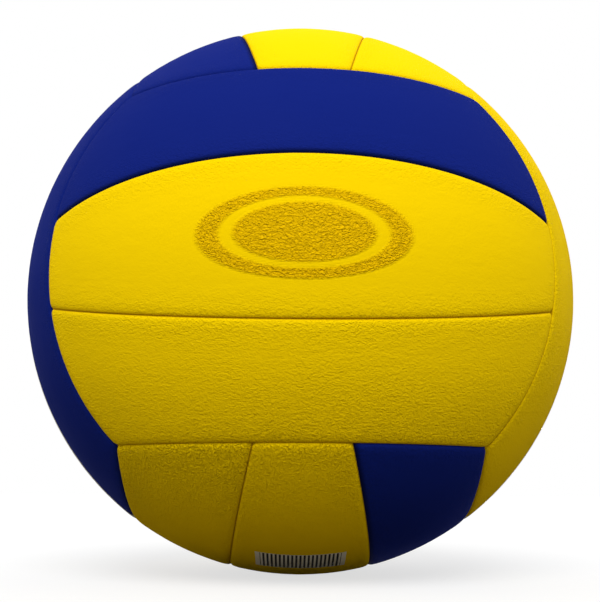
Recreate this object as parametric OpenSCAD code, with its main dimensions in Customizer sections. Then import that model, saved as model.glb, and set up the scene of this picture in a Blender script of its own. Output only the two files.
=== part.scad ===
// Indoor volleyball. A butyl bladder is wound with nylon thread and moulded into a
// rubber carcass. Eighteen padded leather panels are glued on it edge to edge, in six
// faces of three strips, and each face runs square to the four faces beside it.
// The origin is the ball's centre, and the front face looks along -Y.

/* [Ball] */
// Girth round the outside of the ball
ball_girth = 660; // [650:1:670]
// Width of each face's middle strip, along the ball, halfway down its length
middle_strip_w = 51.7; // [46:0.1:58]

/* [Panels] */
// Thickness of the synthetic leather
leather_t = 1.4; // [1.2:0.1:1.8]
// Gap between two panels at the bottom of their seam
seam_gap = 0.3; // [0.2:0.05:0.6]
// Width of the rounding along each panel edge
edge_w = 3; // [2:0.1:4.5]
// Depth of a panel's edge below the ball's surface
edge_drop = 0.7; // [0.6:0.1:1.1]
// Film of glue or latex between two layers
glue_t = 0.15; // [0.1:0.05:0.2]
// Thickness of the foam pad under each panel
pad_t = 2; // [1.8:0.1:3]

/* [Core] */
// Thickness of the moulded rubber carcass
carcass_t = 0.4; // [0.3:0.05:0.8]
// Thickness of the nylon thread winding
winding_t = 0.3; // [0.2:0.05:0.6]
// Wall of the butyl bladder
bladder_t = 0.6; // [0.5:0.05:1.2]

/* [Valve] */
// Diameter of the needle passage
needle_d = 2; // [1.6:0.1:2.4]
// Width of the funnel that leads the needle in
funnel_d = 3.4; // [2.6:0.1:4.4]
// Depth of the funnel
funnel_l = 1; // [0.6:0.1:2]
// Diameter of the valve body
valve_d = 9; // [8.4:0.1:11]
// Length of the valve body
valve_l = 22; // [18:0.5:28]
// Depth of the valve's mouth below the ball's surface
valve_recess = 0.8; // [0.4:0.1:1.5]
// Diameter of the flange that seals the valve body to the bladder
flange_d = 30; // [22:1:40]
// Thickness of the flange
flange_t = 1; // [0.8:0.1:1.6]
// Diameter of the soft core that closes on the needle
core_d = 5; // [4.4:0.1:5.4]
// Length of the soft core
core_l = 14; // [11:0.5:16]
// Diameter of the core's collar
collar_d = 6.8; // [6.2:0.1:7.2]
// Thickness of the core's collar
collar_t = 1.6; // [1:0.1:3]
// Diameter of the air passage below the core
throat_d = 3.2; // [2.8:0.1:3.8]
// Gap round the core in the valve body
core_play = 0.12; // [0.05:0.01:0.2]
// Gap round the valve body in each layer that it passes through
hole_play = 0.3; // [0.1:0.05:0.6]

/* [Hidden] */
$fa = 2;
$fs = 0.4;

ball_r = ball_girth / (2 * PI);

// A seam between two faces is the circle that a cube's corners share round one axis
face_angle = acos(1 / sqrt(3));
// A seam inside a face is a great circle, tilted by this angle from the face's middle
divider_angle = 180 * middle_strip_w / ball_girth;
gap_angle = asin(seam_gap / (2 * ball_r));

// The arc that rounds a panel's edge peaks edge_w from the seam, a hair above the skin, so
// that it crosses the ball's surface and doesn't just touch it
edge_angle = asin(edge_w / ball_r);
edge_r = (edge_w * edge_w + edge_drop * edge_drop) / (2 * edge_drop);
edge_lift = 0.02;

// Each layer of the ball starts one film of glue below the layer outside it
pad_r = ball_r - leather_t - glue_t;
carcass_r = pad_r - pad_t - glue_t;
winding_r = carcass_r - carcass_t - glue_t;
bladder_r = winding_r - winding_t - glue_t;
bladder_in_r = bladder_r - bladder_t;

flange_r = bladder_in_r - glue_t;
valve_top = ball_r - valve_recess;
valve_base = valve_top - valve_l;
core_base = valve_top - core_l;
hole_r = valve_d / 2 + hole_play;

// A wedge of this reach covers the ball even where its outline cuts straight across
reach_share = 1.5;
// Cuts run this far past what they cut
overrun = 1;

leather_blue = [0.10, 0.14, 0.46];
leather_yellow = [0.98, 0.84, 0.02];
leather_white = [0.92, 0.92, 0.90];
foam_grey = [0.80, 0.80, 0.76];
rubber_black = [0.12, 0.12, 0.13];
thread_white = [0.86, 0.85, 0.80];
butyl_brown = [0.30, 0.18, 0.12];
core_grey = [0.62, 0.62, 0.60];

// Each face: its name, how it is turned from the one that looks up, and its strips'
// names and colours in order across the face
FACES = [
  ["front", [90, 0, 0], ["top", "middle", "bottom"], [leather_blue, leather_yellow, leather_yellow]],
  ["back", [90, 0, 180], ["top", "middle", "bottom"], [leather_white, leather_white, leather_blue]],
  ["right", [0, 90, 0], ["back", "middle", "front"], [leather_blue, leather_white, leather_yellow]],
  ["left", [0, -90, 0], ["back", "middle", "front"], [leather_white, leather_white, leather_blue]],
  ["top", [0, 0, 90], ["left", "middle", "right"], [leather_blue, leather_yellow, leather_yellow]],
  ["bottom", [180, 0, 90], ["right", "middle", "left"], [leather_blue, leather_yellow, leather_yellow]]
];
STRIPS = [1, 0, -1];

// The valve sits in the middle strip of the back face
VALVE_FACE = FACES[1];
VALVE_STRIP = 1;

function has_valve(face, strip) = face == VALVE_FACE && strip == VALVE_STRIP;
function strip_name(kind, face, strip) = str(kind, "_", face[0], "_", face[2][strip]);

// A hollow ball
module shell(out_r, in_r) {
  difference() {
    sphere(out_r);
    sphere(in_r);
  }
}

// A slice of a disc between two angles from the Y axis
module slice(from, to, r) {
  middle = (from + to) / 2;
  reach = reach_share * r;
  intersection() {
    circle(r);
    polygon([
      [0, 0],
      reach * [sin(from), cos(from)],
      reach * [sin(middle), cos(middle)],
      reach * [sin(to), cos(to)]
    ]);
  }
}

// Half section of what lies from a seam on one side to the angle `to` on the other, with
// the edge at the seam rounded down from the ball's surface
module edge_section(seam, to) {
  side = to > seam ? 1 : -1;
  start = seam + side * gap_angle;
  peak = start + side * edge_angle;
  slice(peak, to, ball_r + overrun);
  slice(start, peak, ball_r - edge_r);
  intersection() {
    rotate(-peak) translate([0, ball_r - edge_r + edge_lift]) circle(edge_r);
    slice(start, to, ball_r + overrun);
  }
}

// What lies on the pole's side of a seam round the Z axis
module pole_side(seam) {
  rotate_extrude() edge_section(seam, 0);
}

// What lies on the far side of that seam
module far_side(seam) {
  rotate_extrude() edge_section(seam, 180);
}

// Layer between two radii over the middle strip of the face that looks up
module middle_slab(out_r, in_r) {
  intersection() {
    shell(out_r, in_r);
    pole_side(face_angle);
    rotate([90 + divider_angle, 0, 0]) far_side(90);
    rotate([-90 - divider_angle, 0, 0]) far_side(90);
  }
}

// Layer between two radii over the outer strip towards +Y
module outer_slab(out_r, in_r) {
  intersection() {
    shell(out_r, in_r);
    pole_side(face_angle);
    rotate([-90, 0, 0]) far_side(face_angle);
    rotate([-90 - divider_angle, 0, 0]) pole_side(90);
  }
}

// Hole round the valve, through every layer of the face that looks up
module valve_hole() {
  translate([0, 0, valve_base]) cylinder(r = hole_r, h = valve_l + valve_recess + overrun);
}

// Layer between two radii over one strip of a face, in its place on the ball
module slab(face, strip, out_r, in_r) {
  side = STRIPS[strip];
  rotate(face[1]) difference() {
    if (side == 0) middle_slab(out_r, in_r);
    else rotate(90 - side * 90) outer_slab(out_r, in_r);
    if (has_valve(face, strip)) valve_hole();
  }
}

// Leather panel, skived and pressed thin along its edges
module panel(face, strip) {
  color(face[3][strip]) slab(face, strip, ball_r, ball_r - leather_t);
}

// Foam pad glued under a panel
module pad(face, strip) {
  color(foam_grey) slab(face, strip, pad_r, pad_r - pad_t);
}

// A whole layer of the ball, with the valve's hole in it
module layer(r, thickness) {
  difference() {
    shell(r, r - thickness);
    rotate(VALVE_FACE[1]) valve_hole();
  }
}

module carcass() {
  color(rubber_black) layer(carcass_r, carcass_t);
}

module thread_winding() {
  color(thread_white) layer(winding_r, winding_t);
}

module bladder() {
  color(butyl_brown) layer(bladder_r, bladder_t);
}

// Rubber body of the valve, whose flange is vulcanised to the inside of the bladder
module valve_body() {
  color(rubber_black) rotate(VALVE_FACE[1]) difference() {
    union() {
      translate([0, 0, valve_base]) cylinder(d = valve_d, h = valve_l);
      intersection() {
        shell(flange_r, flange_r - flange_t);
        translate([0, 0, valve_base]) cylinder(d = flange_d, h = valve_l);
      }
    }
    translate([0, 0, valve_base - overrun])
      cylinder(d = throat_d, h = valve_l - core_l + 2 * overrun);
    translate([0, 0, core_base]) cylinder(r = core_d / 2 + core_play, h = core_l + overrun);
    translate([0, 0, valve_top - collar_t])
      cylinder(r = collar_d / 2 + core_play, h = collar_t + overrun);
  }
}

// Soft rubber core with the needle passage
module valve_core() {
  color(core_grey) rotate(VALVE_FACE[1]) difference() {
    union() {
      translate([0, 0, core_base]) cylinder(d = core_d, h = core_l);
      translate([0, 0, valve_top - collar_t]) cylinder(d = collar_d, h = collar_t);
    }
    translate([0, 0, core_base - overrun]) cylinder(d = needle_d, h = core_l + 2 * overrun);
    translate([0, 0, valve_top - funnel_l]) cylinder(d1 = needle_d, d2 = funnel_d, h = funnel_l);
  }
}

for (face = FACES) for (strip = [0 : 2]) {
  panel(face, strip);
  pad(face, strip);
}
carcass();
thread_winding();
bladder();
valve_body();
valve_core();
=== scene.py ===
"""An indoor volleyball: eighteen padded leather panels glued edge to edge on a wound bladder.

All lengths are in metres.
"""
import math

import bpy
from mathutils import Euler, Matrix, Vector


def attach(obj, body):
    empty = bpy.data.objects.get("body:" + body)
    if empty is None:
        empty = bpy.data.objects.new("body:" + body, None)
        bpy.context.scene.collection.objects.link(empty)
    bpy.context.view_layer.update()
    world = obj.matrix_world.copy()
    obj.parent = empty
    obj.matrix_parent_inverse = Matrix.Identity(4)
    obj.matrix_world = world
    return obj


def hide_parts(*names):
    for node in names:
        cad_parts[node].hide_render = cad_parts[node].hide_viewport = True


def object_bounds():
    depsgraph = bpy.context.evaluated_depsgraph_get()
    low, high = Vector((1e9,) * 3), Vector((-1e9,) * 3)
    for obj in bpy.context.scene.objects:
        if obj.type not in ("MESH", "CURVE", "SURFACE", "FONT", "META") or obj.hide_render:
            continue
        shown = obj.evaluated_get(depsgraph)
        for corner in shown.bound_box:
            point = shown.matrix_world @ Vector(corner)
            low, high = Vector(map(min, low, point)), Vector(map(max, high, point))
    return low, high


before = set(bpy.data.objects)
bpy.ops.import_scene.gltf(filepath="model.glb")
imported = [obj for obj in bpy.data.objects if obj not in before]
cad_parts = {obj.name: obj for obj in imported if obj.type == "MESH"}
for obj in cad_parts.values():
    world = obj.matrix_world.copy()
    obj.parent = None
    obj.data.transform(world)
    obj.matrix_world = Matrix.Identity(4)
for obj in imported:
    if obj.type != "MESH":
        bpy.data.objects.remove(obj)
cad_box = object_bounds()
scene = bpy.context.scene


# The camera
# It stands close to the ball and just above the floor, and looks a little up at it, so the
# front face seems to lean back.
camera_distance = 0.379
camera_roll = math.radians(0.256)
camera_rise = math.radians(-11.33)
camera_swing = math.radians(0.65)
camera_turn = (
    Matrix.Rotation(camera_roll, 3, "Y")
    @ Matrix.Rotation(camera_rise, 3, "X")
    @ Matrix.Rotation(camera_swing, 3, "Z")
).inverted().to_4x4()

camera_data = bpy.data.cameras.new("camera")
camera_data.lens = 56.63
camera_data.sensor_width = 36
camera_data.shift_x = -0.0005
camera_data.shift_y = 0.0008
camera_data.clip_start = 0.01
camera = bpy.data.objects.new("camera", camera_data)
camera.matrix_world = (
    camera_turn
    @ Matrix.Translation((0, -camera_distance, 0))
    @ Matrix.Rotation(math.radians(90), 4, "X")
)
scene.collection.objects.link(camera)
scene.camera = camera


# The bladder
# A hollow ball of butyl rubber, moulded in two halves and cured into one, which holds the
# air. The eye gets a brown-black matt skin, clouded with the chalk that frees it from the mould.
def add(tree, kind, inputs=None, **settings):
    """Adds a node, sets it, fills or links its inputs, and returns its outputs."""
    made = tree.nodes.new(kind)
    for name, value in settings.items():
        setattr(made, name, value)
    for socket, value in (inputs or {}).items():
        if isinstance(value, bpy.types.NodeSocket):
            tree.links.new(value, made.inputs[socket])
        else:
            made.inputs[socket].default_value = value
    return made.outputs


def linear(colour):
    """A hex colour as linear red, green, blue and alpha."""
    parts = [int(colour[i : i + 2], 16) / 255 for i in (1, 3, 5)]
    return [c / 12.92 if c <= 0.04045 else ((c + 0.055) / 1.055) ** 2.4 for c in parts] + [1.0]


def bare_material(name):
    """A new material and its empty tree."""
    material = bpy.data.materials.new(name)
    material.use_nodes = True
    material.node_tree.nodes.clear()
    return material, material.node_tree


def dress(node, material):
    """Gives a node of the frame its material."""
    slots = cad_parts[node].data.materials
    slots.clear()
    slots.append(material)


def rubber(name, colour, chalk, chalk_share, roughness, grit):
    """Moulded rubber. The mould's grit is in metres, and chalk clings to it in clouds."""
    cloud_width = 4 * grit
    grit_height = 0.1 * grit
    roughness_spread = 0.06
    material, tree = bare_material(name)
    place = add(tree, "ShaderNodeTexCoord")["Object"]
    clouds = add(tree, "ShaderNodeTexNoise", {
        "Vector": place, "Scale": 1 / cloud_width, "Detail": 4.0,
    })["Fac"]
    tint = add(tree, "ShaderNodeMix", {
        0: add(tree, "ShaderNodeMapRange", {
            "Value": clouds, "From Min": 0.4, "From Max": 0.7, "To Min": 0.0, "To Max": chalk_share,
        })[0],
        6: linear(colour), 7: linear(chalk),
    }, data_type="RGBA")[2]
    grain = add(tree, "ShaderNodeTexNoise", {"Vector": place, "Scale": 1 / grit, "Detail": 2.0})["Fac"]
    add(tree, "ShaderNodeOutputMaterial", {
        "Surface": add(tree, "ShaderNodeBsdfPrincipled", {
            "Base Color": tint,
            "Roughness": add(tree, "ShaderNodeMapRange", {
                "Value": clouds, "From Min": 0.3, "From Max": 0.7,
                "To Min": roughness - roughness_spread, "To Max": roughness + roughness_spread,
            })[0],
            "IOR": 1.52, "Specular IOR Level": 0.3,
            "Normal": add(tree, "ShaderNodeBump", {"Height": grain, "Distance": grit_height})[0],
        })[0],
    })
    return material


dress("bladder", rubber(
    "chalked_butyl_rubber", "#3A2A22", "#8F877D", chalk_share=0.5, roughness=0.65, grit=0.0008,
))


# The valve
# A stem of black rubber, cured to the inside of the bladder by its flange, and a softer core
# that closes on the inflating needle. The core is greased, so its mouth shines a little.
dress("valve_body", rubber(
    "moulded_black_rubber", "#141416", "#4A4A4C", chalk_share=0.25, roughness=0.55, grit=0.0005,
))
dress("valve_core", rubber(
    "greased_soft_rubber", "#3B3B3F", "#5A5A5A", chalk_share=0.2, roughness=0.35, grit=0.0004,
))


# The thread winding
# Nylon thread, dipped in latex and wound round the bladder in great circles whose poles keep
# wandering, so that the ball can't swell. The turns part round the valve's stem.
skin_depth_share = 0.7
stem_cutter_length = 0.02
pole_wander = (("X_AXIS", math.radians(67.3)), ("Z_AXIS", math.radians(23.9)))

winding_tree = bpy.data.node_groups.new("thread_winding", "GeometryNodeTree")
winding_socket = {
    name: winding_tree.interface.new_socket(name, in_out="INPUT", socket_type=kind).identifier
    for name, kind in (
        ("Radius", "NodeSocketFloat"),
        ("Thickness", "NodeSocketFloat"),
        ("Thread width", "NodeSocketFloat"),
        ("Turns", "NodeSocketInt"),
        ("Points on a turn", "NodeSocketInt"),
        ("Stem hole radius", "NodeSocketFloat"),
        ("Material", "NodeSocketMaterial"),
    )
}
winding_tree.interface.new_socket("Winding", in_out="OUTPUT", socket_type="NodeSocketGeometry")
size = add(winding_tree, "NodeGroupInput")
line = add(winding_tree, "GeometryNodeMeshLine", {
    "Count": add(winding_tree, "ShaderNodeMath", {
        0: size["Turns"], 1: size["Points on a turn"],
    }, operation="MULTIPLY")[0],
})[0]

# Each point lies on a circle, which is then turned by how many turns went before.
turn = add(winding_tree, "ShaderNodeMath", {
    0: add(winding_tree, "GeometryNodeInputIndex")[0], 1: size["Points on a turn"],
}, operation="DIVIDE")[0]
round_angle = add(winding_tree, "ShaderNodeMath", {0: turn, 1: 2 * math.pi}, operation="MULTIPLY")[0]
circle = add(winding_tree, "ShaderNodeCombineXYZ", {
    "X": add(winding_tree, "ShaderNodeMath", {0: round_angle}, operation="COSINE")[0],
    "Y": add(winding_tree, "ShaderNodeMath", {0: round_angle}, operation="SINE")[0],
})[0]
for axis, wander in pole_wander:
    circle = add(winding_tree, "ShaderNodeVectorRotate", {
        "Vector": circle,
        "Angle": add(winding_tree, "ShaderNodeMath", {0: turn, 1: wander}, operation="MULTIPLY")[0],
    }, rotation_type=axis)[0]

# Points that would cross the stem are pushed aside to its rim.
stem_share = add(winding_tree, "ShaderNodeMath", {
    0: add(winding_tree, "ShaderNodeMath", {
        0: size["Stem hole radius"], 1: size["Thread width"],
    }, operation="ADD")[0],
    1: size["Radius"],
}, operation="DIVIDE")[0]
from_stem = add(winding_tree, "ShaderNodeVectorMath", {
    0: add(winding_tree, "ShaderNodeVectorMath", {0: circle, 1: (1, 0, 1)}, operation="MULTIPLY")[0],
}, operation="LENGTH")["Value"]
aside = add(winding_tree, "ShaderNodeMath", {
    0: add(winding_tree, "ShaderNodeMath", {0: from_stem, 1: stem_share}, operation="MAXIMUM")[0],
    1: from_stem,
}, operation="DIVIDE")[0]
circle = add(winding_tree, "ShaderNodeVectorMath", {
    0: add(winding_tree, "ShaderNodeVectorMath", {
        0: circle,
        1: add(winding_tree, "ShaderNodeCombineXYZ", {"X": aside, "Y": 1.0, "Z": aside})[0],
    }, operation="MULTIPLY")[0],
}, operation="NORMALIZE")[0]
half_thread = add(winding_tree, "ShaderNodeMath", {
    0: size["Thread width"], 1: 0.5,
}, operation="MULTIPLY")[0]
thread_radius = add(winding_tree, "ShaderNodeMath", {
    0: size["Radius"], 1: half_thread,
}, operation="SUBTRACT")[0]
thread = add(winding_tree, "GeometryNodeSetPosition", {
    "Geometry": line,
    "Position": add(winding_tree, "ShaderNodeVectorMath", {
        0: circle, "Scale": thread_radius,
    }, operation="SCALE")[0],
})[0]
thread = add(winding_tree, "GeometryNodeMeshToCurve", {"Mesh": thread})[0]
thread = add(winding_tree, "GeometryNodeCurveToMesh", {
    "Curve": thread,
    "Profile Curve": add(winding_tree, "GeometryNodeCurvePrimitiveCircle", {
        "Resolution": 4, "Radius": half_thread,
    })["Curve"],
    "Fill Caps": True,
})[0]

# The latex dries to a thin skin under the turns.
skin_radius = add(winding_tree, "ShaderNodeMath", {
    0: size["Radius"],
    1: add(winding_tree, "ShaderNodeMath", {
        0: size["Thread width"], 1: skin_depth_share,
    }, operation="MULTIPLY")[0],
}, operation="SUBTRACT")[0]
inner_radius = add(winding_tree, "ShaderNodeMath", {
    0: size["Radius"], 1: size["Thickness"],
}, operation="SUBTRACT")[0]
skin = add(winding_tree, "GeometryNodeMeshIcoSphere", {"Radius": skin_radius, "Subdivisions": 6})
hollow = add(winding_tree, "GeometryNodeMeshIcoSphere", {"Radius": inner_radius, "Subdivisions": 5})
stem_cutter = add(winding_tree, "GeometryNodeTransform", {
    "Geometry": add(winding_tree, "GeometryNodeMeshCylinder", {
        "Vertices": 48, "Radius": size["Stem hole radius"], "Depth": stem_cutter_length,
    })["Mesh"],
    "Translation": add(winding_tree, "ShaderNodeCombineXYZ", {"Y": size["Radius"]})[0],
    "Rotation": (math.radians(90), 0, 0),
})
cut = winding_tree.nodes.new("GeometryNodeMeshBoolean")
cut.operation = "DIFFERENCE"
winding_tree.links.new(skin["Mesh"], cut.inputs["Mesh 1"])
for cutter in (hollow["Mesh"], stem_cutter[0]):
    winding_tree.links.new(cutter, cut.inputs["Mesh 2"])
join = winding_tree.nodes.new("GeometryNodeJoinGeometry")
for part in (cut.outputs[0], thread):
    winding_tree.links.new(part, join.inputs[0])
winding = add(winding_tree, "GeometryNodeRealizeInstances", {"Geometry": join.outputs[0]})[0]
winding = add(winding_tree, "GeometryNodeSetShadeSmooth", {"Geometry": winding})[0]
winding = add(winding_tree, "GeometryNodeSetMaterial", {
    "Geometry": winding, "Material": size["Material"],
})[0]
add(winding_tree, "NodeGroupOutput", {0: winding})

# Latexed nylon: cream, with the shine of a dried dip, and darker in the patches of about
# 3.3 mm where it lies thick. Its filaments are 0.11 mm wide.
dip_width = 1 / 300
filament_width = 1 / 9000
filament_height = 0.00003
nylon, tree = bare_material("latexed_nylon_thread")
place = add(tree, "ShaderNodeTexCoord")["Object"]
dip = add(tree, "ShaderNodeTexNoise", {"Vector": place, "Scale": 1 / dip_width, "Detail": 3.0})["Fac"]
filaments = add(tree, "ShaderNodeTexNoise", {
    "Vector": place, "Scale": 1 / filament_width, "Detail": 1.0,
})["Fac"]
add(tree, "ShaderNodeOutputMaterial", {
    "Surface": add(tree, "ShaderNodeBsdfPrincipled", {
        "Base Color": add(tree, "ShaderNodeMix", {
            0: dip, 6: linear("#EFE9D8"), 7: linear("#C9BFA2"),
        }, data_type="RGBA")[2],
        "Roughness": add(tree, "ShaderNodeMapRange", {"Value": dip, "To Min": 0.35, "To Max": 0.6})[0],
        "IOR": 1.53,
        "Normal": add(tree, "ShaderNodeBump", {"Height": filaments, "Distance": filament_height})[0],
    })[0],
})


def shape_from(name, tree, sockets, values):
    """A piece with the plain mesh that a tree makes from these values of its inputs."""
    blank = bpy.data.objects.new(name + "_blank", bpy.data.meshes.new(name + "_blank"))
    scene.collection.objects.link(blank)
    former = blank.modifiers.new("former", "NODES")
    former.node_group = tree
    for label, value in values.items():
        former[sockets[label]] = value
    bpy.context.view_layer.update()
    formed = blank.evaluated_get(bpy.context.evaluated_depsgraph_get())
    shape = bpy.data.meshes.new_from_object(formed)
    bpy.data.objects.remove(blank)
    shape.name = name
    piece = bpy.data.objects.new(name, shape)
    scene.collection.objects.link(piece)
    return piece


def layer(node):
    """A layer's outer radius and its thickness, from its solid, to the micrometre."""
    radii = [vertex.co.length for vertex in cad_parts[node].data.vertices]
    return round(max(radii), 6), round(max(radii) - min(radii), 6)


winding_radius, winding_thickness = layer("thread_winding")
valve_hole_radius = 0.0048
winding = shape_from("wound_thread", winding_tree, winding_socket, {
    "Radius": winding_radius,
    "Thickness": winding_thickness,
    "Thread width": 0.0002,
    "Turns": 150,
    "Points on a turn": 90,
    "Stem hole radius": valve_hole_radius,
    "Material": nylon,
})
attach(winding, "root")
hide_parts("thread_winding")


# The carcass
# Natural rubber, moulded in one skin over the winding, which gives the ball its round shape.
# The eye gets a dull black with the press's fine grit.
dress("carcass", rubber(
    "natural_rubber_carcass", "#1C1C1E", "#55524E", chalk_share=0.35, roughness=0.7, grit=0.0006,
))


# The shape of a pressed sheet
# Pads and panels are cut flat and pressed to the ball's curve. A panel's edges are skived thin
# and roll down into the seam, where it meets its neighbour with no thread, only glue. The tree
# lays rows from one long seam to the other and lets each row follow the ball to both ends.
ball_radius, leather_thickness = layer("panel_front_top")
seam_gap = 0.00003
half_gap = seam_gap / 2 / ball_radius
face_angle = math.acos(math.sqrt(1 / 3))
inner_seam_angle = math.radians(14.1)

under_columns = 40
under_rows = 10
ring_step_share = 0.2
weld_step_share = 0.1
draw_together = 0.7
steep_share = 0.6
steepness = 4.0
deepest_share = 0.9
crease_length = 1 / 150
crease_width = 1 / 330
slack_reach = 0.038
slack_end_reach = 0.040
slack_end_width = 0.008
oval_bands = ((1.0, 1.0), (0.80, -1.0), (0.66, 1.0))
oval_rim_share = 0.07
valve_dip_width = 0.004
valve_dip_depth = 0.0005
punch_length = 0.01
crisp_angle = math.radians(35)

panel_tree = bpy.data.node_groups.new("pressed_sheet", "GeometryNodeTree")
PANEL_SIZES = (
    ("Ball radius", "NodeSocketFloat"),
    ("Thickness", "NodeSocketFloat"),
    ("Lower seam", "NodeSocketVector"),
    ("Lower seam offset", "NodeSocketFloat"),
    ("Upper seam", "NodeSocketVector"),
    ("Upper seam offset", "NodeSocketFloat"),
    ("End height", "NodeSocketFloat"),
    ("Edge width", "NodeSocketFloat"),
    ("Edge drop", "NodeSocketFloat"),
    ("Crease depth", "NodeSocketFloat"),
    ("Crease seed", "NodeSocketFloat"),
    ("Grain share", "NodeSocketVector"),
    ("Pressed oval", "NodeSocketVector"),
    ("Valve hole radius", "NodeSocketFloat"),
    ("Turn", "NodeSocketVector"),
    ("Columns", "NodeSocketInt"),
    ("Rows", "NodeSocketInt"),
    ("Material", "NodeSocketMaterial"),
)
panel_socket = {
    name: panel_tree.interface.new_socket(name, in_out="INPUT", socket_type=kind).identifier
    for name, kind in PANEL_SIZES
}
panel_tree.interface.new_socket("Panel", in_out="OUTPUT", socket_type="NodeSocketGeometry")
size = add(panel_tree, "NodeGroupInput")

# The sheet starts as a flat grid, with a ring round it for the foot of its edge and a coarse
# grid below for its underside. The ring's points fall on those of the coarse grid, so the
# three close up into one skin.
counts = add(panel_tree, "ShaderNodeCombineXYZ", {"X": size["Columns"], "Y": size["Rows"], "Z": 1.0})[0]
step = add(panel_tree, "ShaderNodeVectorMath", {0: (1, 1, 0), 1: counts}, operation="DIVIDE")[0]
step_along = add(panel_tree, "ShaderNodeSeparateXYZ", {0: step})["X"]
with_ring = add(panel_tree, "ShaderNodeSeparateXYZ", {
    0: add(panel_tree, "ShaderNodeVectorMath", {
        0: step, 1: (2, 2, 0), 2: (1, 1, 0),
    }, operation="MULTIPLY_ADD")[0],
})
top = add(panel_tree, "GeometryNodeMeshGrid", {
    "Size X": with_ring["X"], "Size Y": with_ring["Y"],
    "Vertices X": add(panel_tree, "ShaderNodeMath", {0: size["Columns"], 1: 3.0}, operation="ADD")[0],
    "Vertices Y": add(panel_tree, "ShaderNodeMath", {0: size["Rows"], 1: 3.0}, operation="ADD")[0],
})["Mesh"]
place = add(panel_tree, "GeometryNodeInputPosition")[0]
inside = add(panel_tree, "ShaderNodeVectorMath", {
    0: add(panel_tree, "ShaderNodeVectorMath", {0: place, 1: (-0.5, -0.5, 0)}, operation="MAXIMUM")[0],
    1: (0.5, 0.5, 0),
}, operation="MINIMUM")[0]
outside_by = add(panel_tree, "ShaderNodeVectorMath", {0: place, 1: inside}, operation="DISTANCE")["Value"]
on_ring = add(panel_tree, "FunctionNodeCompare", {
    0: outside_by,
    1: add(panel_tree, "ShaderNodeMath", {0: step_along, 1: ring_step_share}, operation="MULTIPLY")[0],
}, data_type="FLOAT")[0]
coarse = add(panel_tree, "ShaderNodeVectorMath", {
    0: add(panel_tree, "ShaderNodeVectorMath", {
        0: inside, 1: (0.5 + 0.5 / under_columns, 0.5 + 0.5 / under_rows, 0),
    }, operation="ADD")[0],
    1: (1 / under_columns, 1 / under_rows, 1),
}, operation="SNAP")[0]
ring_place = add(panel_tree, "ShaderNodeVectorMath", {0: coarse, 1: (-0.5, -0.5, -1)}, operation="ADD")[0]
top = add(panel_tree, "GeometryNodeSetPosition", {
    "Geometry": top,
    "Position": add(panel_tree, "GeometryNodeSwitch", {
        "Switch": on_ring, "False": inside, "True": ring_place,
    }, input_type="VECTOR")[0],
})[0]
under = add(panel_tree, "GeometryNodeMeshGrid", {
    "Size X": 1.0, "Size Y": 1.0, "Vertices X": under_columns + 1, "Vertices Y": under_rows + 1,
})["Mesh"]
under = add(panel_tree, "GeometryNodeTransform", {"Geometry": under, "Translation": (0, 0, -1)})[0]
under = add(panel_tree, "GeometryNodeFlipFaces", {"Mesh": under})[0]
join = panel_tree.nodes.new("GeometryNodeJoinGeometry")
for part in (under, top):
    panel_tree.links.new(part, join.inputs[0])
sheet = add(panel_tree, "GeometryNodeMergeByDistance", {
    "Geometry": join.outputs[0],
    "Distance": add(panel_tree, "ShaderNodeMath", {
        0: step_along, 1: weld_step_share,
    }, operation="MULTIPLY")[0],
})[0]

# Rows and columns draw together towards the seams, where the leather curves most.
share = add(panel_tree, "ShaderNodeVectorMath", {0: place, 1: (0.5, 0.5, 0)}, operation="ADD")[0]
wave = add(panel_tree, "ShaderNodeVectorMath", {
    0: add(panel_tree, "ShaderNodeVectorMath", {0: share, "Scale": 2 * math.pi}, operation="SCALE")[0],
}, operation="SINE")[0]
wave_share = -draw_together / (2 * math.pi)
share = add(panel_tree, "ShaderNodeVectorMath", {
    0: wave, 1: (wave_share, wave_share, 0), 2: share,
}, operation="MULTIPLY_ADD")[0]
shares = add(panel_tree, "ShaderNodeSeparateXYZ", {0: share})
along_share = shares["X"]
across_share = shares["Y"]

# Each row lies in a plane between the planes of the two long seams, so it is an arc.
row_normal = add(panel_tree, "ShaderNodeMix", {
    0: across_share, 4: size["Lower seam"], 5: size["Upper seam"],
}, data_type="VECTOR")[1]
row_offset = add(panel_tree, "ShaderNodeMix", {
    0: across_share, 2: size["Lower seam offset"], 3: size["Upper seam offset"],
}, data_type="FLOAT")[0]
row_offset = add(panel_tree, "ShaderNodeMath", {
    0: row_offset,
    1: add(panel_tree, "ShaderNodeVectorMath", {0: row_normal}, operation="LENGTH")["Value"],
}, operation="DIVIDE")[0]
row_normal = add(panel_tree, "ShaderNodeVectorMath", {0: row_normal}, operation="NORMALIZE")[0]
row_up = add(panel_tree, "ShaderNodeVectorMath", {
    0: (1, 0, 0), 1: row_normal,
}, operation="CROSS_PRODUCT")[0]
row_centre = add(panel_tree, "ShaderNodeVectorMath", {
    0: row_normal, "Scale": row_offset,
}, operation="SCALE")[0]
row_radius = add(panel_tree, "ShaderNodeMath", {
    0: add(panel_tree, "ShaderNodeMath", {0: row_offset}, operation="ARCSINE")[0],
}, operation="COSINE")[0]
end_rise = add(panel_tree, "ShaderNodeMath", {
    0: size["End height"], 1: add(panel_tree, "ShaderNodeSeparateXYZ", {0: row_centre})["Z"],
}, operation="SUBTRACT")[0]
full_rise = add(panel_tree, "ShaderNodeMath", {
    0: row_radius, 1: add(panel_tree, "ShaderNodeSeparateXYZ", {0: row_up})["Z"],
}, operation="MULTIPLY")[0]
end_angle = add(panel_tree, "ShaderNodeMath", {
    0: add(panel_tree, "ShaderNodeMath", {0: end_rise, 1: full_rise}, operation="DIVIDE")[0],
}, operation="ARCCOSINE")[0]
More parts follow.
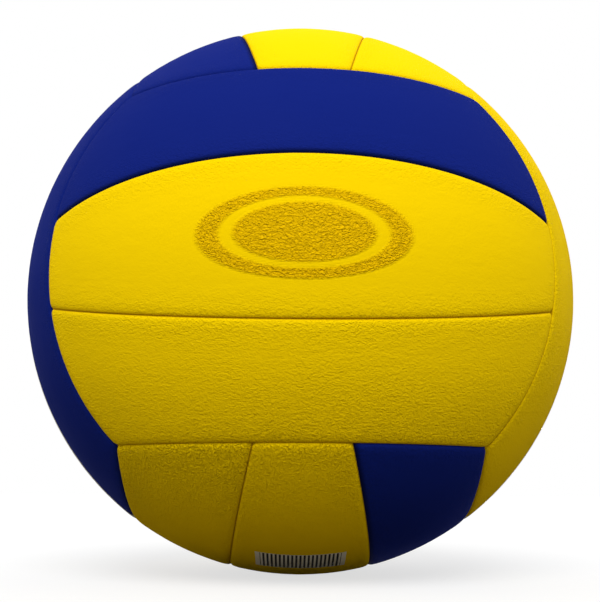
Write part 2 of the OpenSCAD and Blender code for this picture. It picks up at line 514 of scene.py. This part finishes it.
angle = add(panel_tree, "ShaderNodeMath", {
    0: end_angle,
    1: add(panel_tree, "ShaderNodeMath", {0: along_share, 1: 2.0, 2: -1.0}, operation="MULTIPLY_ADD")[0],
}, operation="MULTIPLY")[0]
reach_along = add(panel_tree, "ShaderNodeMath", {
    0: row_radius, 1: add(panel_tree, "ShaderNodeMath", {0: angle}, operation="SINE")[0],
}, operation="MULTIPLY")[0]
reach_up = add(panel_tree, "ShaderNodeMath", {
    0: row_radius, 1: add(panel_tree, "ShaderNodeMath", {0: angle}, operation="COSINE")[0],
}, operation="MULTIPLY")[0]
outward = add(panel_tree, "ShaderNodeVectorMath", {
    0: row_up, 1: reach_up,
    2: add(panel_tree, "ShaderNodeVectorMath", {
        0: row_centre, 1: add(panel_tree, "ShaderNodeCombineXYZ", {"X": reach_along})[0],
    }, operation="ADD")[0],
}, operation="MULTIPLY_ADD")[0]

# Distances in metres to the lower seam, the upper seam and the strip's end, and how far the
# edge's roll has gone there, from 0 where it begins to 1 at the seam.
from_seams = add(panel_tree, "ShaderNodeVectorMath", {
    0: add(panel_tree, "ShaderNodeCombineXYZ", {
        "X": add(panel_tree, "ShaderNodeMath", {
            0: add(panel_tree, "ShaderNodeVectorMath", {
                0: outward, 1: size["Lower seam"],
            }, operation="DOT_PRODUCT")["Value"],
            1: size["Lower seam offset"],
        }, operation="SUBTRACT")[0],
        "Y": add(panel_tree, "ShaderNodeMath", {
            0: size["Upper seam offset"],
            1: add(panel_tree, "ShaderNodeVectorMath", {
                0: outward, 1: size["Upper seam"],
            }, operation="DOT_PRODUCT")["Value"],
        }, operation="SUBTRACT")[0],
        "Z": add(panel_tree, "ShaderNodeMath", {
            0: add(panel_tree, "ShaderNodeMath", {
                0: add(panel_tree, "ShaderNodeSeparateXYZ", {0: outward})["Z"], 1: size["End height"],
            }, operation="SUBTRACT")[0],
            1: math.sin(face_angle),
        }, operation="DIVIDE")[0],
    })[0],
    "Scale": size["Ball radius"],
}, operation="SCALE")[0]
nearness = add(panel_tree, "ShaderNodeVectorMath", {
    0: add(panel_tree, "ShaderNodeVectorMath", {
        0: (1, 1, 1),
        1: add(panel_tree, "ShaderNodeVectorMath", {
            0: from_seams, 1: size["Edge width"],
        }, operation="DIVIDE")[0],
    }, operation="SUBTRACT")[0],
    1: (0, 0, 0),
}, operation="MAXIMUM")[0]
roll = add(panel_tree, "ShaderNodeVectorMath", {
    0: add(panel_tree, "ShaderNodeVectorMath", {0: nearness, 1: nearness}, operation="MULTIPLY")[0],
}, operation="LENGTH")["Value"]

# The edge falls gently at first and steeply in its last millimetre.
steep = add(panel_tree, "ShaderNodeMath", {0: roll, 1: steepness}, operation="POWER")[0]
sink = add(panel_tree, "ShaderNodeMath", {
    0: add(panel_tree, "ShaderNodeMix", {0: steep_share, 2: roll, 3: steep}, data_type="FLOAT")[0],
    1: size["Edge drop"],
}, operation="MULTIPLY")[0]
sink = add(panel_tree, "ShaderNodeMath", {
    0: sink,
    1: add(panel_tree, "ShaderNodeMath", {0: size["Thickness"], 1: deepest_share}, operation="MULTIPLY")[0],
}, operation="MINIMUM")[0]

# Lengths on the leather itself, in metres along and across the strip. The stored ones are
# lifted by the seed, so that no two sheets have the same grain.
on_leather = add(panel_tree, "ShaderNodeVectorMath", {
    0: add(panel_tree, "ShaderNodeCombineXYZ", {
        "X": angle,
        "Y": add(panel_tree, "ShaderNodeMath", {
            0: add(panel_tree, "ShaderNodeSeparateXYZ", {0: outward})["Y"],
        }, operation="ARCSINE")[0],
    })[0],
    "Scale": size["Ball radius"],
}, operation="SCALE")[0]
own_grain = add(panel_tree, "ShaderNodeVectorMath", {
    0: on_leather, 1: add(panel_tree, "ShaderNodeCombineXYZ", {"Z": size["Crease seed"]})[0],
}, operation="ADD")[0]

# Soft creases that the press leaves, about 6.7 mm long along the strip and 3 mm wide.
crease = add(panel_tree, "ShaderNodeTexNoise", {
    "Vector": add(panel_tree, "ShaderNodeVectorMath", {
        0: on_leather, 1: (1 / crease_length, 1 / crease_width, 1),
    }, operation="MULTIPLY")[0],
    "W": size["Crease seed"], "Scale": 1.0, "Detail": 2.0, "Roughness": 0.55, "Distortion": 0.6,
}, noise_dimensions="4D")[0]
sink = add(panel_tree, "ShaderNodeMath", {
    0: crease, 1: size["Crease depth"], 2: sink,
}, operation="MULTIPLY_ADD")[0]

# The grain's share in the sheet's middle is X. The leather lies slack near its upper seam and
# its ends, and there up to Y and Z are added.
grain_shares = add(panel_tree, "ShaderNodeSeparateXYZ", {0: size["Grain share"]})
distances = add(panel_tree, "ShaderNodeSeparateXYZ", {0: from_seams})
grain_share = grain_shares["X"]
for axis, begins, full in (("Y", slack_reach, 0.0), ("Z", slack_end_reach, slack_end_width)):
    slack = add(panel_tree, "ShaderNodeMapRange", {
        "Value": distances[axis], "From Min": begins, "From Max": full,
        "To Min": 0.0, "To Max": grain_shares[axis],
    }, interpolation_type="SMOOTHSTEP")[0]
    grain_share = add(panel_tree, "ShaderNodeMath", {0: grain_share, 1: slack}, operation="ADD")[0]

# A plain oval may be pressed into the middle, with a ring left smooth inside it. The size's
# Z is its depth.
oval = add(panel_tree, "ShaderNodeSeparateXYZ", {0: size["Pressed oval"]})
oval_reach = add(panel_tree, "ShaderNodeVectorMath", {
    0: add(panel_tree, "ShaderNodeVectorMath", {
        0: on_leather,
        1: add(panel_tree, "ShaderNodeCombineXYZ", {"X": oval["X"], "Y": oval["Y"], "Z": 1.0})[0],
    }, operation="DIVIDE")[0],
}, operation="LENGTH")["Value"]
pressed = 0.0
for edge, sign in oval_bands:
    band = add(panel_tree, "ShaderNodeMapRange", {
        "Value": oval_reach, "From Min": edge, "From Max": edge - oval_rim_share,
        "To Min": 0.0, "To Max": sign,
    }, interpolation_type="SMOOTHSTEP")[0]
    pressed = add(panel_tree, "ShaderNodeMath", {0: pressed, 1: band}, operation="ADD")[0]
pressed = add(panel_tree, "ShaderNodeMath", {
    0: pressed,
    1: add(panel_tree, "ShaderNodeMath", {0: oval["Z"], 1: 0.0}, operation="GREATER_THAN")[0],
}, operation="MULTIPLY")[0]
sink = add(panel_tree, "ShaderNodeMath", {0: pressed, 1: oval["Z"], 2: sink}, operation="MULTIPLY_ADD")[0]

# Round the valve the leather dips a little towards its punched hole.
from_valve = add(panel_tree, "ShaderNodeMath", {
    0: add(panel_tree, "ShaderNodeVectorMath", {
        0: add(panel_tree, "ShaderNodeVectorMath", {0: outward, 1: (1, 1, 0)}, operation="MULTIPLY")[0],
    }, operation="LENGTH")["Value"],
    1: size["Ball radius"],
}, operation="MULTIPLY")[0]
dip = add(panel_tree, "ShaderNodeMapRange", {
    "Value": from_valve, "From Min": size["Valve hole radius"],
    "From Max": add(panel_tree, "ShaderNodeMath", {
        0: size["Valve hole radius"], 1: valve_dip_width,
    }, operation="ADD")[0],
    "To Min": 1.0, "To Max": 0.0,
})[0]
has_valve = add(panel_tree, "ShaderNodeMath", {
    0: size["Valve hole radius"], 1: 0.0,
}, operation="GREATER_THAN")[0]
dip = add(panel_tree, "ShaderNodeMath", {
    0: add(panel_tree, "ShaderNodeMath", {0: dip, 1: dip}, operation="MULTIPLY")[0], 1: has_valve,
}, operation="MULTIPLY")[0]
sink = add(panel_tree, "ShaderNodeMath", {0: dip, 1: valve_dip_depth, 2: sink}, operation="MULTIPLY_ADD")[0]

# The underside lies a thickness below the ball's surface, and the top sinks from it.
is_under = add(panel_tree, "ShaderNodeMath", {
    0: add(panel_tree, "ShaderNodeSeparateXYZ", {0: place})["Z"], 1: -0.5,
}, operation="LESS_THAN")[0]
radius = add(panel_tree, "ShaderNodeMath", {
    0: size["Ball radius"],
    1: add(panel_tree, "ShaderNodeMix", {0: is_under, 2: sink, 3: size["Thickness"]}, data_type="FLOAT")[0],
}, operation="SUBTRACT")[0]
for name, value, kind in (
    ("on_leather", own_grain, "FLOAT_VECTOR"),
    ("from_seams", from_seams, "FLOAT_VECTOR"),
    ("pressed", pressed, "FLOAT"),
    ("grain_share", grain_share, "FLOAT"),
):
    sheet = add(panel_tree, "GeometryNodeStoreNamedAttribute", {
        "Geometry": sheet, "Name": name, "Value": value,
    }, data_type=kind, domain="POINT")[0]
panel = add(panel_tree, "GeometryNodeSetPosition", {
    "Geometry": sheet,
    "Position": add(panel_tree, "ShaderNodeVectorMath", {0: outward, "Scale": radius}, operation="SCALE")[0],
})[0]

# The valve's hole is punched through the finished panel.
punch = add(panel_tree, "GeometryNodeTransform", {
    "Geometry": add(panel_tree, "GeometryNodeMeshCylinder", {
        "Vertices": 96, "Radius": size["Valve hole radius"], "Depth": punch_length,
    })["Mesh"],
    "Translation": add(panel_tree, "ShaderNodeCombineXYZ", {"Z": size["Ball radius"]})[0],
})[0]
punched = add(panel_tree, "GeometryNodeMeshBoolean", {
    "Mesh 1": panel, "Mesh 2": punch,
}, operation="DIFFERENCE")[0]
panel = add(panel_tree, "GeometryNodeSwitch", {
    "Switch": add(panel_tree, "FunctionNodeCompare", {
        0: size["Valve hole radius"], 1: 0.0,
    }, data_type="FLOAT")[0],
    "False": panel, "True": punched,
}, input_type="GEOMETRY")[0]
panel = add(panel_tree, "GeometryNodeTransform", {"Geometry": panel, "Rotation": size["Turn"]})[0]
sharp = add(panel_tree, "FunctionNodeCompare", {
    0: add(panel_tree, "GeometryNodeInputMeshEdgeAngle")[0], 1: crisp_angle,
}, data_type="FLOAT")[0]
panel = add(panel_tree, "GeometryNodeStoreNamedAttribute", {
    "Geometry": panel, "Name": "sharp_edge", "Value": sharp,
}, data_type="BOOLEAN", domain="EDGE")[0]
panel = add(panel_tree, "GeometryNodeSetShadeSmooth", {"Geometry": panel})[0]
panel = add(panel_tree, "GeometryNodeRealizeInstances", {"Geometry": panel})[0]
panel = add(panel_tree, "GeometryNodeSetMaterial", {"Geometry": panel, "Material": size["Material"]})[0]
add(panel_tree, "NodeGroupOutput", {0: panel})

# Six faces of three strips. Each strip is named for the side of its face that it lies on, and
# each face is turned so that its strips run square to those of the four faces beside it.
middle_slope = math.tan(inner_seam_angle - half_gap)
outer_slope = math.tan(inner_seam_angle + half_gap)
outer_seam_height = math.cos(face_angle + half_gap)
end_height = math.cos(face_angle - half_gap)
FACES = (
    ("front", (90, 0, 0), ("top", "middle", "bottom")),
    ("back", (90, 0, 180), ("top", "middle", "bottom")),
    ("right", (0, 90, 0), ("back", "middle", "front")),
    ("left", (0, -90, 0), ("back", "middle", "front")),
    ("top", (0, 0, 90), ("left", "middle", "right")),
    ("bottom", (180, 0, 90), ("right", "middle", "left")),
)
STRIPS = [
    (face_index, face, turn, strip, side)
    for face_index, (face, turn, strips) in enumerate(FACES)
    for strip, side in zip(strips, (1, 0, -1))
]


def seam_plane(slope, offset):
    """The plane y = slope * z + offset, scaled so that it measures arcs near its seam."""
    scale = 1 / math.sqrt(1 + slope * slope - offset * offset)
    return (0, scale, -slope * scale), offset * scale


def pressed_sheet(name, turn, side, values):
    """A sheet over one strip of a face: the middle one where side is 0."""
    if side == 0:
        lower, upper = seam_plane(-middle_slope, 0), seam_plane(middle_slope, 0)
    else:
        lower, upper = seam_plane(outer_slope, 0), seam_plane(0, outer_seam_height)
    face_turn = Euler([math.radians(a) for a in turn]).to_matrix()
    strip_turn = Matrix.Rotation(math.pi if side < 0 else 0, 3, "Z")
    return shape_from(name, panel_tree, panel_socket, {
        "Lower seam": lower[0],
        "Lower seam offset": lower[1],
        "Upper seam": upper[0],
        "Upper seam offset": upper[1],
        "End height": end_height,
        "Turn": tuple((face_turn @ strip_turn).to_euler()),
        **values,
    })


# The foam pads
# Closed-cell foam, die-cut to each panel's outline and glued to the carcass under it. The eye
# gets a soft grey-white skin, pitted with cut cells about half a millimetre across.
pad_radius, pad_thickness = layer("pad_front_top")
no_oval = (1.0, 1.0, 0.0)
cell_width = 0.0005
cell_depth = 0.0002
foam, tree = bare_material("closed_cell_foam")
on_foam = add(tree, "ShaderNodeAttribute", attribute_name="on_leather")["Vector"]
cells = add(tree, "ShaderNodeTexVoronoi", {"Vector": on_foam, "Scale": 1 / cell_width})["Distance"]
add(tree, "ShaderNodeOutputMaterial", {
    "Surface": add(tree, "ShaderNodeBsdfPrincipled", {
        "Base Color": add(tree, "ShaderNodeMix", {
            0: cells, 6: linear("#B9B8B2"), 7: linear("#E4E3DC"),
        }, data_type="RGBA")[2],
        "Roughness": add(tree, "ShaderNodeMapRange", {"Value": cells, "To Min": 0.8, "To Max": 0.95})[0],
        "IOR": 1.49, "Specular IOR Level": 0.2,
        "Normal": add(tree, "ShaderNodeBump", {"Height": cells, "Distance": cell_depth})[0],
    })[0],
})

for face_index, face, turn, strip, side in STRIPS:
    piece = pressed_sheet(f"{face}_{strip}_foam", turn, side, {
        "Ball radius": pad_radius,
        "Thickness": pad_thickness,
        "Edge width": 0.0015,
        "Edge drop": 0.0004,
        "Crease depth": 0.00006,
        "Crease seed": 5.0 + 10.0 * face_index + side,
        "Grain share": (1.0, 0.0, 0.0),
        "Pressed oval": no_oval,
        "Valve hole radius": valve_hole_radius if (face, strip) == ("back", "middle") else 0.0,
        "Columns": 80,
        "Rows": 20,
        "Material": foam,
    })
    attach(piece, "root")
    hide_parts(f"pad_{face}_{strip}")


# The leather
# Microfibre faced with a skin of polyurethane, embossed with a fine wrinkled grain and dyed
# through. The eye gets a clear strong colour, a soft sheen, and grain that catches the light
# from above. Shade is painted into the grooves of the grain and along the seams. The blue skin
# is pressed smoother than the yellow.
wrinkle_length = 1 / 950
wrinkle_width = 1 / 1300
wrinkle_depth = 0.0005
# Shade is painted into the grain's grooves, more where the grain is strong.
groove_top = 0.45
groove_floor = 0.28
groove_shade_share = 0.1
fullest_strength = 2.0
patch_width = 1 / 28
calm_patch = 0.7
lively_patch = 1.1
gather_reach = 0.01
gather_width = 0.001
gather_share = 0.6
oval_grain = 2.6
oval_tint = 0.35
# At a seam the painted shade covers this share of the colour.
seam_shade_share = 0.75
roughness_spread = 0.04

label_along = -0.0375
label_half_sizes = (0.0075, 0.0155)
bars_half_sizes = (0.0072, 0.0139)
bar_pitch = 0.0014


def leather(name, colour, pressed_colour, painted_shade_colour, seam_shade_reach, shade_lower_seam_only, roughness, printed=False):
    """Leather with painted shade near both its long seams, or near the lower one only, and in the grooves of
    its grain.
    """
    material, tree = bare_material(name)
    on_skin = add(tree, "ShaderNodeAttribute", attribute_name="on_leather")["Vector"]
    from_seams = add(tree, "ShaderNodeSeparateXYZ", {
        0: add(tree, "ShaderNodeAttribute", attribute_name="from_seams")["Vector"],
    })
    from_long_seam = add(tree, "ShaderNodeMath", {
        0: from_seams["X"], 1: from_seams["Y"],
    }, operation="MINIMUM")[0]
    from_seam = add(tree, "ShaderNodeMath", {0: from_long_seam, 1: from_seams["Z"]}, operation="MINIMUM")[0]
    oval_share = add(tree, "ShaderNodeAttribute", attribute_name="pressed")["Fac"]
    # The grain's wrinkles are about 1.05 mm long along the strip and 0.77 mm wide.
    grain = add(tree, "ShaderNodeTexNoise", {
        "Vector": add(tree, "ShaderNodeMapping", {
            "Vector": on_skin, "Scale": (1 / wrinkle_length, 1 / wrinkle_width, 1),
        })["Vector"],
        "Scale": 1.0, "Detail": 2.0, "Roughness": 0.5, "Distortion": 1.0,
    })["Fac"]
    # It is stronger in patches of about 36 mm, and where the press gathers the skin at a seam.
    patch = add(tree, "ShaderNodeMapRange", {
        "Value": add(tree, "ShaderNodeTexNoise", {
            "Vector": on_skin, "Scale": 1 / patch_width, "Detail": 2.0,
        })["Fac"],
        "From Min": 0.35, "From Max": 0.65, "To Min": calm_patch, "To Max": lively_patch,
    })[0]
    gathered = add(tree, "ShaderNodeMapRange", {
        "Value": from_seam, "From Min": gather_reach, "From Max": gather_width,
        "To Min": 0.0, "To Max": gather_share,
    })[0]
    strength = add(tree, "ShaderNodeMath", {
        0: add(tree, "ShaderNodeAttribute", attribute_name="grain_share")["Fac"], 1: patch, 2: gathered,
    }, operation="MULTIPLY_ADD")[0]
    strength = add(tree, "ShaderNodeMath", {
        0: oval_share, 1: oval_grain, 2: strength,
    }, operation="MULTIPLY_ADD")[0]
    # The oval is a little deeper in colour, and shade is painted into the grooves of the grain
    # and along the seams.
    painted_groove_shade = add(tree, "ShaderNodeMapRange", {
        "Value": grain, "From Min": groove_top, "From Max": groove_floor,
        "To Min": 0.0, "To Max": groove_shade_share,
    })[0]
    tint = add(tree, "ShaderNodeMix", {
        0: add(tree, "ShaderNodeMath", {
            0: painted_groove_shade,
            1: add(tree, "ShaderNodeMath", {0: strength, 1: fullest_strength}, operation="MINIMUM")[0],
        }, operation="MULTIPLY")[0],
        6: linear(colour), 7: linear(painted_shade_colour),
    }, data_type="RGBA")[2]
    tint = add(tree, "ShaderNodeMix", {
        0: add(tree, "ShaderNodeMath", {0: oval_share, 1: oval_tint}, operation="MULTIPLY")[0],
        6: tint, 7: linear(pressed_colour),
    }, data_type="RGBA")[2]
    # Painted shade darkens the leather near its seams, or near its lower seam only.
    tint = add(tree, "ShaderNodeMix", {
        0: add(tree, "ShaderNodeMapRange", {
            "Value": from_seams["X"] if shade_lower_seam_only else from_long_seam,
            "From Min": seam_shade_reach, "From Max": 0.0, "To Min": 0.0, "To Max": seam_shade_share,
        }, interpolation_type="SMOOTHSTEP")[0],
        6: tint, 7: linear(painted_shade_colour),
    }, data_type="RGBA")[2]
    if printed:
        # A pale patch is heat-printed on the skin, with plain even bars.
        place = add(tree, "ShaderNodeVectorMath", {
            0: on_skin, 1: (label_along, 0, 0),
        }, operation="SUBTRACT")[0]
        sides = add(tree, "ShaderNodeSeparateXYZ", {
            0: add(tree, "ShaderNodeVectorMath", {0: place}, operation="ABSOLUTE")[0],
        })
        across = add(tree, "ShaderNodeSeparateXYZ", {0: place})["Y"]
        wave = add(tree, "ShaderNodeMath", {
            0: add(tree, "ShaderNodeMath", {0: across, 1: 2 * math.pi / bar_pitch}, operation="MULTIPLY")[0],
        }, operation="COSINE")[0]
        bars = add(tree, "ShaderNodeMath", {0: wave, 1: 0.0}, operation="GREATER_THAN")[0]
        for print_colour, mask, half_sizes in (
            ("#F4F4F2", 1.0, label_half_sizes),
            ("#141414", bars, bars_half_sizes),
        ):
            for axis, half_size in zip("XY", half_sizes):
                within = add(tree, "ShaderNodeMath", {
                    0: sides[axis], 1: half_size,
                }, operation="LESS_THAN")[0]
                mask = add(tree, "ShaderNodeMath", {0: mask, 1: within}, operation="MULTIPLY")[0]
            tint = add(tree, "ShaderNodeMix", {
                0: mask, 6: tint, 7: linear(print_colour),
            }, data_type="RGBA")[2]
    height = add(tree, "ShaderNodeMath", {0: grain, 1: strength}, operation="MULTIPLY")[0]
    add(tree, "ShaderNodeOutputMaterial", {
        "Surface": add(tree, "ShaderNodeBsdfPrincipled", {
            "Base Color": tint,
            "Roughness": add(tree, "ShaderNodeMapRange", {
                "Value": patch, "From Min": calm_patch, "From Max": lively_patch,
                "To Min": roughness - roughness_spread, "To Max": roughness + roughness_spread,
            })[0],
            "IOR": 1.5, "Specular IOR Level": 0.03,
            "Normal": add(tree, "ShaderNodeBump", {"Height": height, "Distance": wrinkle_depth})[0],
        })[0],
    })
    return material


# Each leather's third colour is the painted shade of its seams and of its grain's grooves.
YELLOW = {
    "colour": "#F9D300", "pressed_colour": "#E29A00", "painted_shade_colour": "#A87800",
    "seam_shade_reach": 0.0005, "shade_lower_seam_only": False, "roughness": 0.9,
}
yellow_leather = leather("yellow_microfibre_leather", **YELLOW)
printed_leather = leather("printed_yellow_microfibre_leather", printed=True, **YELLOW)
blue_leather = leather(
    "blue_microfibre_leather", colour="#0F2075", pressed_colour="#070E3A", painted_shade_colour="#010206",
    seam_shade_reach=0.002, shade_lower_seam_only=True, roughness=0.85,
)
white_leather = leather(
    "white_microfibre_leather", colour="#E6E6E1", pressed_colour="#BDBDB4", painted_shade_colour="#8E8E86",
    seam_shade_reach=0.0004, shade_lower_seam_only=False, roughness=0.85,
)


# The eighteen panels
# Each panel is glued edge to edge with its neighbours. One is punched for the valve, and the
# front's middle one has a plain oval pressed into it.
LEATHERS = {
    "front": (blue_leather, yellow_leather, yellow_leather),
    "back": (white_leather, white_leather, blue_leather),
    "right": (blue_leather, white_leather, yellow_leather),
    "left": (white_leather, white_leather, blue_leather),
    "top": (blue_leather, yellow_leather, yellow_leather),
    "bottom": (blue_leather, yellow_leather, yellow_leather),
}
SLOT_OF = {yellow_leather: "leather_yellow", blue_leather: "leather_blue", white_leather: "leather_white"}

# A panel that was pulled taut shows less grain than one that was pressed slack.
GRAIN_SHARE = {
    "leather_yellow": (0.8, 0.0, 0.0),
    "leather_blue": (0.1, 0.0, 0.0),
    "leather_white": (0.4, 0.0, 0.0),
    "front_middle_panel": (0.15, 0.0, 0.0),
    "front_bottom_panel": (0.45, 0.9, 0.0),
    "top_middle_panel": (0.05, 0.0, 0.0),
    "top_right_panel": (0.05, 0.0, 0.0),
    "bottom_middle_panel": (0.15, 0.0, 1.45),
    "bottom_left_panel": (0.1, 0.0, 2.1),
}

# The oval needs a finer grid than the other panels have.
OWN_VALUES = {
    "front_middle_panel": {"Pressed oval": (0.034, 0.0145, 0.00035), "Columns": 480, "Rows": 160},
    "back_middle_panel": {"Valve hole radius": valve_hole_radius},
    "bottom_middle_panel": {"Material": printed_leather},
}
for face_index, face, turn, strip, side in STRIPS:
    name = f"{face}_{strip}_panel"
    skin = LEATHERS[face][1 - side]
    slot = SLOT_OF[skin]
    piece = pressed_sheet(name, turn, side, {
        "Ball radius": ball_radius,
        "Thickness": leather_thickness,
        "Edge width": 0.0036,
        "Edge drop": 0.0008,
        "Crease depth": 0.00012,
        "Crease seed": 10.0 * face_index + side,
        "Grain share": GRAIN_SHARE.get(name, GRAIN_SHARE[slot]),
        "Pressed oval": no_oval,
        "Valve hole radius": 0.0,
        "Columns": 320,
        "Rows": 100,
        "Material": skin,
        **OWN_VALUES.get(name, {}),
    })
    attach(piece, "root")
    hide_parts(f"panel_{face}_{strip}")


# The floor and the light
# A pale matt table under a wide soft lamp, high in front, in an evenly lit room. The floor
# shows white and keeps the ball's shadow.
floor_mesh = bpy.data.meshes.new("floor")
floor_z = cad_box[0].z
reach = 6.0
floor_mesh.from_pydata(
    [(-reach, -reach, floor_z), (reach, -reach, floor_z), (reach, reach, floor_z), (-reach, reach, floor_z)],
    [], [(0, 1, 2, 3)],
)
floor = bpy.data.objects.new("floor", floor_mesh)
scene.collection.objects.link(floor)


def seen(tree):
    """1 where the eye or a mirror looks, and 0 where only scattered light goes."""
    path = add(tree, "ShaderNodeLightPath")
    mirrored = add(tree, "ShaderNodeMath", {
        0: path["Is Glossy Ray"], 1: path["Is Transmission Ray"],
    }, operation="MAXIMUM")[0]
    return add(tree, "ShaderNodeMath", {0: path["Is Camera Ray"], 1: mirrored}, operation="MAXIMUM")[0]


# The table's paint. The eye gets a pale matt that glows, so that it shows white and still keeps
# the ball's shadow, and the ball gets what a darker matt throws back.
glow_share = 0.68
floor_paint, tree = bare_material("pale_matt_table_paint")
matt = add(tree, "ShaderNodeBsdfDiffuse", {"Color": linear("#675D43")})[0]
pale = add(tree, "ShaderNodeBsdfDiffuse", {"Color": linear("#F4F4F4")})[0]
glow = add(tree, "ShaderNodeEmission", {"Color": linear("#FFFFFF"), "Strength": 1.0})[0]
lit = add(tree, "ShaderNodeMixShader", {0: glow_share, 1: pale, 2: glow})[0]
add(tree, "ShaderNodeOutputMaterial", {
    "Surface": add(tree, "ShaderNodeMixShader", {0: seen(tree), 1: matt, 2: lit})[0],
})
floor_mesh.materials.append(floor_paint)

# How white the room and the lamp would each make a white card that faces it, where 1 is white.
room_share = 0.76
lamp_share = 0.71
world = bpy.data.worlds.new("studio")
scene.world = world
world.use_nodes = True
tree = world.node_tree
tree.nodes.clear()
dim = add(tree, "ShaderNodeBackground", {"Color": linear("#FFFFFF"), "Strength": room_share})[0]
white = add(tree, "ShaderNodeBackground", {"Color": linear("#FFFFFF"), "Strength": 1.0})[0]
add(tree, "ShaderNodeOutputWorld", {
    "Surface": add(tree, "ShaderNodeMixShader", {0: seen(tree), 1: dim, 2: white})[0],
})

lamp = bpy.data.lights.new("lamp_in_front", "SUN")
lamp.angle = math.radians(36)
lamp.energy = lamp_share * math.pi
towards_lamp = Vector((-0.02, -0.71, 0.705))
holder = bpy.data.objects.new("lamp_in_front", lamp)
holder.matrix_world = towards_lamp.to_track_quat("Z", "Y").to_matrix().to_4x4()
scene.collection.objects.link(holder)

scene.view_settings.view_transform = "Standard"
